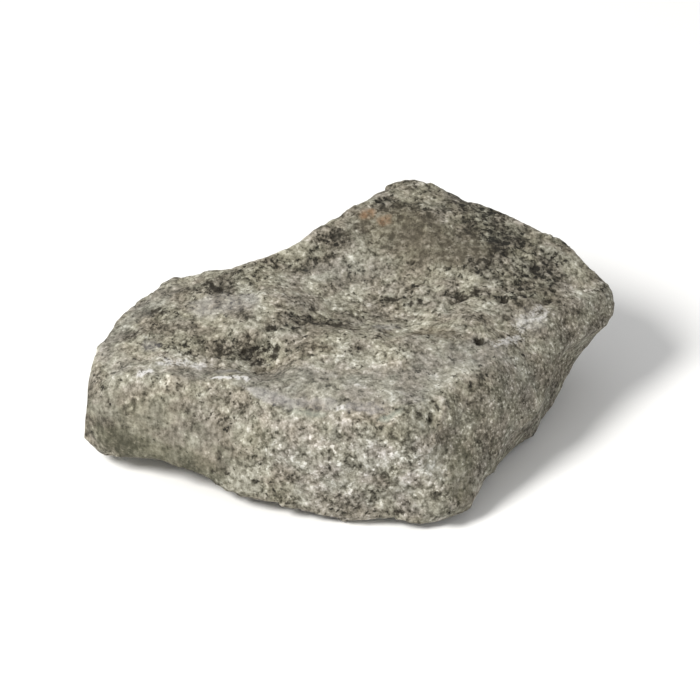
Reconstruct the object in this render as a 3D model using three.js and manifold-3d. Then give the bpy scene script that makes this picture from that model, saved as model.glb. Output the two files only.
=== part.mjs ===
// A raw lump of soapstone, split from the block and left as it broke.
// It is a wedge-shaped slab, thick at the back and thinner at the front, with one broad upper face,
// a bevelled front lip, steep broken sides, and a small flat spot underneath that it rests on.
// Frame: +Z up, +X along the length, -Y towards the front lip. All sizes are in millimetres.
// Origin: on the surface that the stone rests on, under the middle of its bounding box.

import Module from "manifold-3d";
import * as THREE from "three";
import { ConvexGeometry } from "three/addons/geometries/ConvexGeometry.js";
import { ImprovedNoise } from "three/addons/math/ImprovedNoise.js";
import { mergeVertices } from "three/addons/utils/BufferGeometryUtils.js";

// Corners of the block, in order round the stone from its left end along the front.
const LOWER_RIM = [
  [-67, -18, 6],
  [-63.5, -19, 4],
  [-27, -39.5, 2.5],
  [-14, -44, 1.5],
  [4, -46, 1],
  [24.5, -49, 1.5],
  [27.5, -47, 5],
  [40.5, -18, 1],
  [46, -9, 1.5],
  [52, 9, 4],
  [58, 22, 9],
  [50, 37, 5],
  [33, 51, 6],
  [13, 58, 11],
  [2, 53, 6],
  [-19, 39, 4],
  [-39, 28, 3],
  [-57, 13, 4],
  [-64, -3, 5],
];
const UPPER_RIM = [
  [-67, -18, 14],
  [-66.5, -15, 21.5],
  [-64.5, 3, 26.5],
  [-57.5, 13, 29],
  [17, 58, 47.8],
  [38, 48.5, 42],
  [55, 37, 37.5],
  [65, 23, 31],
  [69.5, 20, 26],
];
const LIP_TOP = [
  [-57, -18, 29],
  [-27, -27, 31.5],
  [-6, -34, 31.5],
  [12, -37, 31.5],
  [30, -25.5, 32],
  [45, -8.5, 32],
  [53, 3, 31.5],
];
const LIP_FOOT = [
  [-63, -21, 20],
  [-39, -29.5, 24.5],
  [-22, -37, 25],
  [-3, -42, 26.5],
  [16, -42.5, 27],
  [33.5, -27, 28.5],
];
const BACK_BULGE = [
  [-61, 9, 15],
  [0, 52, 24],
  [11, 58, 25],
];
const REST_DEPTH = 1.2; // how far the underside would bulge below the resting surface if it were not flat
const UNDERSIDE = [
  [-23, -6, -REST_DEPTH],
  [-9, -20, -REST_DEPTH],
  [10, -23, -REST_DEPTH],
  [22, -9, -REST_DEPTH],
  [24, 10, -REST_DEPTH],
  [8, 22, -REST_DEPTH],
  [-15, 14, -REST_DEPTH],
];

// Scoops: shallow hollows where flakes came away, each an ellipsoid taken out of the block.
// at is its centre, radii its half-sizes, and turn its rotation about X, Y and Z in degrees.
const SCOOPS = {
  "back left hollow": { at: [-23, 44.6, 30], radii: [38, 18.5, 45], turn: [0, 0, 27] },
  "front undercut": { at: [-50, -34.5, -5.5], radii: [27, 16, 14.2], turn: [0, 0, -28] },
  dish: { at: [6, 3, 82], radii: [62, 44, 50], turn: [7, 0, -12] },
  "lip hollow": { at: [-32, -15.5, 36.5], radii: [18, 9, 6.5], turn: [0, 0, -8] },
  "lip pit": { at: [-22, -18, 33], radii: [6, 4.5, 4], turn: [0, 0, -8] },
  "lip flake": { at: [-34, -31, 33], radii: [11, 6, 8], turn: [0, 0, -15] },
  "right edge flake": { at: [47, -12, 37], radii: [12, 9, 9], turn: [0, 0, 50] },
  "front flake": { at: [-1, -59, 10], radii: [24, 16, 13], turn: [0, 0, -6] },
  "foot flake": { at: [50, -25, 1], radii: [30, 13, 17], turn: [0, 0, 67] },
  "right face flake": { at: [63, -2, 12], radii: [27, 13, 15], turn: [0, 0, 62] },
  "back flake": { at: [44, 62, 26], radii: [24, 20, 14], turn: [0, 0, -28] },
  "left end flake": { at: [-77, 3, 6], radii: [14, 15, 10], turn: [0, 0, 0] },
  "underside flake": { at: [-46, 8, -9], radii: [18, 14, 12], turn: [0, 0, 20] },
  "underside right flake": { at: [48, 22, -6], radii: [14, 18, 10], turn: [0, 0, 0] },
  "underside back hollow": { at: [2, 37, -9], radii: [32, 18, 11.5], turn: [0, 0, -10] },
  "underside front hollow": { at: [-22, -27, -10], radii: [26, 13, 12], turn: [0, 0, -27] },
};

// Ledges: steps where a sheet of the stone split off along its layers. All that lies beyond the
// wall, on the side that heading points to, and above the tread is gone.
const LEDGES = {
  "back ledge": { wall: [31, 45.8, 30], heading: 62, tread: 27, slope: 4 },
  "left ledge": { wall: [-61, 9, 17], heading: 150, tread: 15, slope: -5 },
};

const EDGE_ROUNDING = 0.5; // how softly the faces of the block run into each other
const RIM_ROUNDING = 0.9; // the same round a scoop or a ledge

// The uneven broken surface: layers of relief, each with its wavelength and its height.
const RELIEF = [
  { wavelength: 31, height: 1.4, offset: 3.7 },
  { wavelength: 14, height: 1.3, offset: 11.3 },
  { wavelength: 7, height: 0.8, offset: 29.9 },
];

const MESH_DETAIL = 19; // each edge of the starting icosahedron is cut into this many and one more
const START_RADII = [70, 58, 30]; // the ellipsoid that the mesh starts from
const CENTRE = new THREE.Vector3(0, 0, 17);
const RAY_REACH = 2; // how many starting radii out from the centre the surface is looked for
const RAY_HALVINGS = 30;
const RELAX_PASSES = 50;
const RELAX_SHARE = 0.6; // how far each pass moves a point towards the middle of its neighbours
const FINISH_PASSES = 3;
const NEGLIGIBLE = 12; // how many roundings below the greatest a value no longer counts
const TURN_GAIN = 0.02; // how much closer the other diagonal has to come before an edge is turned
const MIN_FITNESS = 0.25; // the thinnest triangle that turning an edge may leave
const SLOPE_STEP = 0.05; // the distance over which the slope of the field is measured
const LEAST_SLOPE = 0.45; // a slope gentler than this counts as this steep when a point is moved
const CUT_DEPTH = 20; // how far down the stone is cut away below the resting surface
const CUT_WIDTH = 300;
const SNAP = 0.3; // a point this close to the resting surface is moved onto it before the cut

const wasm = await Module();
wasm.setup();

const vectors = (rows) => rows.map(([x, y, z]) => new THREE.Vector3(x, y, z));

// The flat faces of the block, as planes whose normals point outwards.
function blockFaces() {
  const corners = [LOWER_RIM, UPPER_RIM, LIP_TOP, LIP_FOOT, BACK_BULGE, UNDERSIDE].flatMap(vectors);
  const position = new ConvexGeometry(corners).getAttribute("position");
  const faces = [];
  for (let i = 0; i < position.count; i += 3) {
    const [a, b, c] = [0, 1, 2].map((k) => new THREE.Vector3().fromBufferAttribute(position, i + k));
    faces.push(new THREE.Plane().setFromCoplanarPoints(a, b, c));
  }
  return faces;
}

// Each scoop's radii with the matrix that takes a point into its own axes.
function scoopTools() {
  return Object.values(SCOOPS).map(({ at, radii, turn }) => {
    const euler = new THREE.Euler(...turn.map(THREE.MathUtils.degToRad), "ZYX");
    const placed = new THREE.Matrix4().makeRotationFromEuler(euler).setPosition(...at);
    return { radii: new THREE.Vector3(...radii), toLocal: placed.invert() };
  });
}

// Each ledge's wall and tread, as planes whose normals point into the missing sheet.
function ledgeTools() {
  return Object.values(LEDGES).map(({ wall, heading, tread, slope }) => {
    const [turn, tilt] = [heading, slope].map(THREE.MathUtils.degToRad);
    const outwards = new THREE.Vector3(Math.cos(turn), Math.sin(turn), 0);
    const upwards = new THREE.Vector3(0, 0, Math.cos(tilt)).addScaledVector(outwards, -Math.sin(tilt));
    const foot = new THREE.Vector3(wall[0], wall[1], tread);
    return {
      wall: new THREE.Plane().setFromNormalAndCoplanarPoint(outwards, foot),
      tread: new THREE.Plane().setFromNormalAndCoplanarPoint(upwards, foot),
    };
  });
}

const FACES = blockFaces();
const SCOOP_TOOLS = scoopTools();
const LEDGE_TOOLS = ledgeTools();
const noise = new ImprovedNoise();
const local = new THREE.Vector3();
const faceDistances = new Float64Array(FACES.length);

// The greatest of the values, eased where several are nearly as great.
function softMax(values, rounding) {
  let greatest = -Infinity;
  for (const value of values) greatest = Math.max(greatest, value);
  let sum = 0;
  for (const value of values) {
    if (greatest - value < NEGLIGIBLE * rounding) sum += Math.exp((value - greatest) / rounding);
  }
  return greatest + rounding * Math.log(sum);
}

// About how deep a point lies inside a scoop's ellipsoid, negative outside it.
function depthInScoop(point, { radii, toLocal }) {
  local.copy(point).applyMatrix4(toLocal).divide(radii);
  const share = local.length();
  const steepness = local.divide(radii).length();
  return (share * (1 - share)) / steepness;
}

function relief(point) {
  let sum = 0;
  for (const { wavelength, height, offset } of RELIEF) {
    local.copy(point).divideScalar(wavelength).addScalar(offset);
    sum += height * noise.noise(local.x, local.y, local.z);
  }
  return sum;
}

// About how far a point lies outside the stone, negative inside it.
function field(point) {
  FACES.forEach((face, i) => {
    faceDistances[i] = face.distanceToPoint(point);
  });
  let distance = softMax(faceDistances, EDGE_ROUNDING);
  for (const scoop of SCOOP_TOOLS) {
    distance = softMax([distance, depthInScoop(point, scoop)], RIM_ROUNDING);
  }
  for (const { wall, tread } of LEDGE_TOOLS) {
    const depth = -softMax([-wall.distanceToPoint(point), -tread.distanceToPoint(point)], RIM_ROUNDING);
    distance = softMax([distance, depth], RIM_ROUNDING);
  }
  return distance + relief(point);
}

// The direction in which the field grows fastest, and how fast it grows.
function slope(point) {
  const here = field(point);
  const steps = ["x", "y", "z"].map((axis) => {
    const beside = point.clone();
    beside[axis] += SLOPE_STEP;
    return (field(beside) - here) / SLOPE_STEP;
  });
  return new THREE.Vector3(...steps);
}

// Where the ray from the centre through a point leaves the stone.
function castOut(point) {
  let inside = 0;
  let outside = RAY_REACH;
  const place = new THREE.Vector3();
  for (let i = 0; i < RAY_HALVINGS; i++) {
    const share = (inside + outside) / 2;
    place.lerpVectors(CENTRE, point, share);
    if (field(place) > 0) outside = share;
    else inside = share;
  }
  return place;
}

// Moves a point that lies near the surface onto it.
function settle(point) {
  const gradient = slope(point);
  return point.addScaledVector(gradient, -field(point) / Math.max(gradient.lengthSq(), LEAST_SLOPE ** 2));
}

// The points that share an edge with each point of an indexed triangle mesh.
function neighboursOf(index, count) {
  const neighbours = Array.from({ length: count }, () => new Set());
  for (let i = 0; i < index.length; i += 3) {
    const [a, b, c] = [index[i], index[i + 1], index[i + 2]];
    neighbours[a].add(b).add(c);
    neighbours[b].add(a).add(c);
    neighbours[c].add(a).add(b);
  }
  return neighbours.map((set) => [...set]);
}

// Which triangle runs along each edge of the mesh, by the edge's two points in order.
function trianglesByEdge(index, count) {
  const triangles = new Map();
  for (let i = 0; i < index.length; i++) {
    const start = i - (i % 3);
    const next = index[start + ((i + 1) % 3)];
    triangles.set(index[i] * count + next, start);
  }
  return triangles;
}

// How far the middle of the line between two points lies from the surface.
function gapUnder(a, b) {
  return Math.abs(field(a.clone().lerp(b, 0.5)));
}

// Twice the area of a triangle over the square of its longest side, negative if it faces inwards.
function fitness(a, b, c, outwards) {
  const across = b.clone().sub(a).cross(c.clone().sub(a));
  const longest = Math.max(a.distanceToSquared(b), b.distanceToSquared(c), c.distanceToSquared(a));
  return (across.length() * Math.sign(across.dot(outwards))) / longest;
}

// Turns the edge between two triangles where the other diagonal lies closer to the surface, so that
// the edges of the mesh run along the edges of the stone.
function turnEdges(index, points) {
  const count = points.length;
  const triangles = trianglesByEdge(index, count);
  for (let i = 0; i < index.length; i++) {
    const near = i - (i % 3);
    const [a, b, c] = [0, 1, 2].map((n) => index[near + ((i + n) % 3)]);
    const far = triangles.get(b * count + a);
    const d = [0, 1, 2].map((n) => index[far + n]).find((point) => point !== a && point !== b);
    if (triangles.has(c * count + d) || triangles.has(d * count + c)) continue;
    const [pa, pb, pc, pd] = [a, b, c, d].map((point) => points[point]);
    if (gapUnder(pc, pd) > gapUnder(pa, pb) - TURN_GAIN) continue;
    const outwards = slope(pc.clone().lerp(pd, 0.5));
    if (Math.min(fitness(pa, pd, pc, outwards), fitness(pd, pb, pc, outwards)) < MIN_FITNESS) continue;
    index.set([a, d, c], near);
    index.set([d, b, c], far);
    [a * count + b, b * count + a].forEach((edge) => triangles.delete(edge));
    [a * count + d, d * count + c, c * count + a].forEach((edge) => triangles.set(edge, near));
    [d * count + b, b * count + c, c * count + d].forEach((edge) => triangles.set(edge, far));
  }
}

// An even mesh of triangles laid over the surface where the field is zero.
function stoneGeometry() {
  const start = new THREE.IcosahedronGeometry(1, MESH_DETAIL);
  start.deleteAttribute("normal");
  start.deleteAttribute("uv");
  const geometry = mergeVertices(start);
  const position = geometry.getAttribute("position");
  const neighbours = neighboursOf(geometry.index.array, position.count);
  const points = Array.from({ length: position.count }, (_, i) => {
    const direction = new THREE.Vector3().fromBufferAttribute(position, i);
    return castOut(direction.multiply(new THREE.Vector3(...START_RADII)).add(CENTRE));
  });
  for (let pass = 0; pass < RELAX_PASSES; pass++) {
    const middles = neighbours.map((ring) => {
      const sum = ring.reduce((total, i) => total.add(points[i]), new THREE.Vector3());
      return sum.divideScalar(ring.length);
    });
    points.forEach((point, i) => settle(point.lerp(middles[i], RELAX_SHARE)));
  }
  for (let pass = 0; pass < FINISH_PASSES; pass++) {
    points.forEach(settle);
    turnEdges(geometry.index.array, points);
  }
  points.forEach(({ x, y, z }, i) => position.setXYZ(i, x, y, Math.abs(z) < SNAP ? 0 : z));
  return geometry;
}

// A closed mesh, its shared points merged, as a solid that can be cut.
function solidOf(geometry) {
  const mesh = new wasm.Mesh({
    numProp: 3,
    vertProperties: new Float32Array(geometry.getAttribute("position").array),
    triVerts: new Uint32Array(geometry.index.array),
  });
  return new wasm.Manifold(mesh);
}

// Cuts the stone off level at the resting surface, which leaves the flat spot that it stands on.
function cutFlat(geometry) {
  const box = new THREE.BoxGeometry(CUT_WIDTH, CUT_WIDTH, CUT_DEPTH).translate(0, 0, -CUT_DEPTH / 2);
  box.deleteAttribute("normal");
  box.deleteAttribute("uv");
  const { vertProperties, triVerts } = solidOf(geometry).subtract(solidOf(mergeVertices(box))).getMesh();
  const cut = new THREE.BufferGeometry();
  cut.setAttribute("position", new THREE.BufferAttribute(vertProperties, 3));
  cut.setIndex(new THREE.BufferAttribute(triVerts, 1));
  return cut;
}

// Shifts the stone so that the origin lies under the middle of its bounding box.
function centred(geometry) {
  geometry.computeBoundingBox();
  const middle = geometry.boundingBox.getCenter(new THREE.Vector3());
  return geometry.translate(-middle.x, -middle.y, 0);
}

const soapstone = new THREE.MeshStandardMaterial({ color: 0x8f8b7e, roughness: 0.9, metalness: 0 });
const stone = new THREE.Mesh(centred(cutFlat(stoneGeometry())), soapstone);
stone.name = "stone";
stone.geometry.computeVertexNormals();

const group = new THREE.Group();
group.add(stone);

export default group;
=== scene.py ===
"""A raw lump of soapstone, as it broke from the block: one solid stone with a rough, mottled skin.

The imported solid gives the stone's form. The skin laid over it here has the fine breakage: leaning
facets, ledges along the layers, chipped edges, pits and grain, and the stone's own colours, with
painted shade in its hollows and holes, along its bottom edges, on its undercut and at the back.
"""

import math

import bmesh
import bpy
import numpy as np
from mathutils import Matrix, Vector, noise


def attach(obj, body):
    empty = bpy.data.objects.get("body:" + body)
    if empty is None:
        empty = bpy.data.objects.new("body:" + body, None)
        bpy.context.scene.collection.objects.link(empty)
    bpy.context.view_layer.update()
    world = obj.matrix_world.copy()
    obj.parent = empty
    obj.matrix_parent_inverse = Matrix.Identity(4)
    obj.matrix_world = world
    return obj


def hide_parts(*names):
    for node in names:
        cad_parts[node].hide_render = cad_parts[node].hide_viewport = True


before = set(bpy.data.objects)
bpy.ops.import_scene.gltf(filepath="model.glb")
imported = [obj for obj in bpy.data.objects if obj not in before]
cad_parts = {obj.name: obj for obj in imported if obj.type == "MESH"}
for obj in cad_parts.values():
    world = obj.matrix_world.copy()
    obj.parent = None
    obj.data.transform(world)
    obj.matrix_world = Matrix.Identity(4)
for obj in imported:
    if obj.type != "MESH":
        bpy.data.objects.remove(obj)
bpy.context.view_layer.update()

scene = bpy.context.scene

MM = 0.001
TINY = 1e-12  # keeps a division by a length away from zero
SEED = 21  # without a seed the facets would wander differently on each run
noise.seed_set(SEED)

# ---------------------------------------------------------------------------------------------
# Sizes, in millimetres
# ---------------------------------------------------------------------------------------------

SKIN = 0.64  # the spacing of the fine mesh
WELD = 0.01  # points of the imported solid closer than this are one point
SOFTEN_PASSES = 3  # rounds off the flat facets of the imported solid
NEAR_PASSES = 6  # how much the stone is rounded to find its small edges and hollows
BROAD_PASSES = 45  # and how much to find its large ones

BEDDING = Vector((0.03, -0.09, 1.0)).normalized()  # square to the stone's layers

# Leaning facets: the hackly break, at two sizes. lean is how steeply they tip, wander is how far
# their edges stray, and start is where on X their pattern begins.
FACETS = [
    {"size": 11.0, "lean": 0.13, "wander": 3.0, "start": 2.0},
    {"size": 4.6, "lean": 0.15, "wander": 1.6, "start": 17.0},
]
WANDER_SIZE = 0.6  # the size of the wander, as a share of the facet's
FACET_SHUFFLE = 37.7  # makes neighbouring facets tip in unlike directions
WORN_FLAT = 0.60  # how much flatter worn skin is

# Ledges: the steps between the stone's thin layers. On a face along the layers each shows as a
# tread and a rise, and on a steep face as a band that stands in or out.
LEDGE_HEIGHT = 1.15
LEDGE_SHARE = 0.06  # how much of each step shows
LEDGE_RISE = (0.62, 1.0)  # where in a layer the rise starts and ends
LEDGE_WANDER = 1.5
LEDGE_WANDER_SIZE = 13
BAND_DEPTH = 0.18
BAND_LENGTH = 17
BAND_SHIFT = 3.1  # how unlike two neighbouring bands are
BAND_EDGE = (0.0, 0.25)  # where in a layer its band starts and is full

# Grain: the sugary roughness, from coarse to fine, with less of it on worn skin and more on sugary.
GRAIN = [
    {"size": 3.4, "height": 0.12, "start": 5.0},
    {"size": 1.7, "height": 0.24, "start": 31.0},
]
GRAIN_WORN = 0.55
GRAIN_SUGAR = 0.6

# Facing: the breaks are flat, and meet in crisp edges. A bend sharper than FACING_BEND between two
# neighbouring faces of the mesh turns into an edge, and a gentler one into a flat.
FACING_ROUNDS = 80
FACING_BEND = 0.11
FACING_MOVES = 30
# Edges: what stands out from a rounder stone is pushed further out, so that the edges stay sharp.
EDGE_PASSES = 60
EDGE_START = 0.2
EDGE_SHARE = 0.75
EDGE_MOST = 1.0

# Arrises: the crisp lines where two breaks meet, and how far each stands out.
ARRIS_REACH = 3.0
ARRISES = {
    "lower edge of the lip": {
        "height": 0.7,
        "line": [
            (-58.4, -23.4, 26.3), (-53.3, -25.0, 28.1), (-43.2, -27.9, 29.6), (-35.1, -29.8, 29.9),
            (-28.8, -31.9, 29.6), (-24.5, -34.4, 29.1), (-19.5, -37.9, 28.4), (-14.5, -40.7, 28.0),
            (-8.3, -42.4, 27.7), (-0.9, -44.0, 28.0), (5.2, -45.6, 28.4), (10.2, -46.5, 27.9),
        ],
    },
    "top edge of the right face": {
        "height": 1.1,
        "line": [
            (10.2, -46.5, 27.9), (16.0, -42.6, 30.0), (21.9, -37.6, 30.6), (25.7, -32.3, 31.6),
            (29.6, -25.9, 32.4), (34.6, -21.2, 32.3), (40.6, -14.6, 31.2), (46.9, -7.1, 30.9),
            (50.9, -1.1, 31.3), (56.8, 4.9, 30.9), (64.1, 11.3, 28.6),
        ],
    },
    "front corner": {
        "height": 0.7,
        "line": [(10.2, -46.5, 27.9), (14.5, -48.8, 23.0), (19.5, -50.0, 16.0), (24.5, -50.8, 8.5)],
    },
    "left corner": {
        "height": 0.7,
        "line": [
            (-59.0, -24.0, 25.0), (-60.3, -27.0, 18.5), (-61.2, -27.3, 12.0), (-62.3, -26.0, 5.0),
        ],
    },
    "back left edge": {
        "height": 0.2,
        "line": [
            (-44.8, 11.6, 32.7), (-35.3, 14.2, 35.0), (-25.7, 15.2, 36.5), (-16.2, 20.0, 37.9),
            (-6.7, 25.2, 40.6), (1.6, 32.5, 43.0), (8.1, 38.0, 43.8), (12.0, 42.0, 43.4),
        ],
    },
    "back corner": {
        "height": 1.2,
        "line": [(10.5, 43.0, 43.6), (14.4, 47.0, 43.2)],
    },
}

# Flat breaks that take a little more off: a point of each, and the way it faces.
BREAKS = {
    "right of the back corner": {"at": (14.6, 45.4, 43.9), "facing": (0.377, 0.506, 0.778)},
}

# Pits: small, ragged and dark, most of them in the dark patches, and shallower on the steep sides.
PIT_SIZE = 2.3
PIT_DEPTH = 0.55
PIT_START = 0.46  # how rare the pits are, and how much less rare in a dark patch
PIT_CROWD = 0.34
PIT_EDGE = 0.20  # how gently their sides slope
PIT_PLACE = Vector((3, 9, 27))
PIT_FRAY = 0.35  # how ragged their rims are
PIT_FRAY_SIZE = 1.1
PIT_GATHER = 0.12  # how unevenly they are scattered
PIT_GATHER_SIZE = 11
PIT_STEEP = 0.35  # the share of their depth that is left on a steep side
PIT_UPWARD = (0.3, 0.8)  # how far up a face points where pits deepen, and where they are deepest

# Chips: shallow flakes knocked off what stands out.
CHIP_SIZE = 5.5
CHIP_DEPTH = 0.5
CHIP_PLACE = Vector((7, 7, 7))
CHIP_SPREAD = 0.1  # how much more of the edge is chipped than whole
CHIP_OUT = (0.25, 0.9)  # how far out a point stands where chips start, and where they are deepest

# The finish darkens the hollows with painted shade.
# Relief that the finish reads: the small edges or hollows and then the large ones, each with its
# share, and with how far a point stands out or lies in where it starts and where it is full.
EDGE_STEPS = [(0.5, 0.02, 0.30), (0.6, 0.3, 1.1)]
HOLLOW_STEPS = [(0.7, 0.03, 0.35), (0.4, 0.15, 1.0)]

# Holes and dents of their own: where each is, how far it reaches along X, Y and Z, and how deep.
DENTS = {
    "lip pit": {"at": (-23.0, -18.2, 31.2), "reach": (6.4, 4.2, 4.0), "depth": 1.3},
    "lip pit, left part": {"at": (-33.5, -16.2, 31.1), "reach": (7.0, 3.6, 4.0), "depth": 0.8},
    "right hole": {"at": (32.2, -16.7, 33.9), "reach": (1.7, 1.9, 2.4), "depth": 2.2},
    "brown hollow": {"at": (20.5, -13.5, 34.4), "reach": (5.0, 3.4, 3.0), "depth": 0.7},
    "first top hole": {"at": (9.8, 5.3, 32.3), "reach": (2.6, 1.8, 2.0), "depth": 0.9},
    "second top hole": {"at": (-4.4, -8.9, 33.3), "reach": (2.6, 2.0, 2.0), "depth": 0.9},
    "third top hole": {"at": (27.6, 1.5, 34.9), "reach": (2.4, 1.8, 2.0), "depth": 0.9},
    "fourth top hole": {"at": (38.5, 0.5, 34.8), "reach": (1.7, 1.6, 2.0), "depth": 1.0},
    "first slot": {"at": (-20.3, -12.8, 35.0), "reach": (3.2, 1.8, 1.8), "depth": 0.7},
    "second slot": {"at": (-26.3, -32.4, 30.2), "reach": (4.2, 1.3, 1.6), "depth": 0.6},
    "corner hole": {"at": (20.0, -43.8, 28.4), "reach": (1.5, 1.5, 2.2), "depth": 0.9},
}
DENT_RIM = (0.45, 1.0)  # where a dent's side starts and ends, counted in reaches
DENT_FRAYS = [(0.25, 1.6)]  # how ragged its rim is: shares of the reach, each with a size

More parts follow.
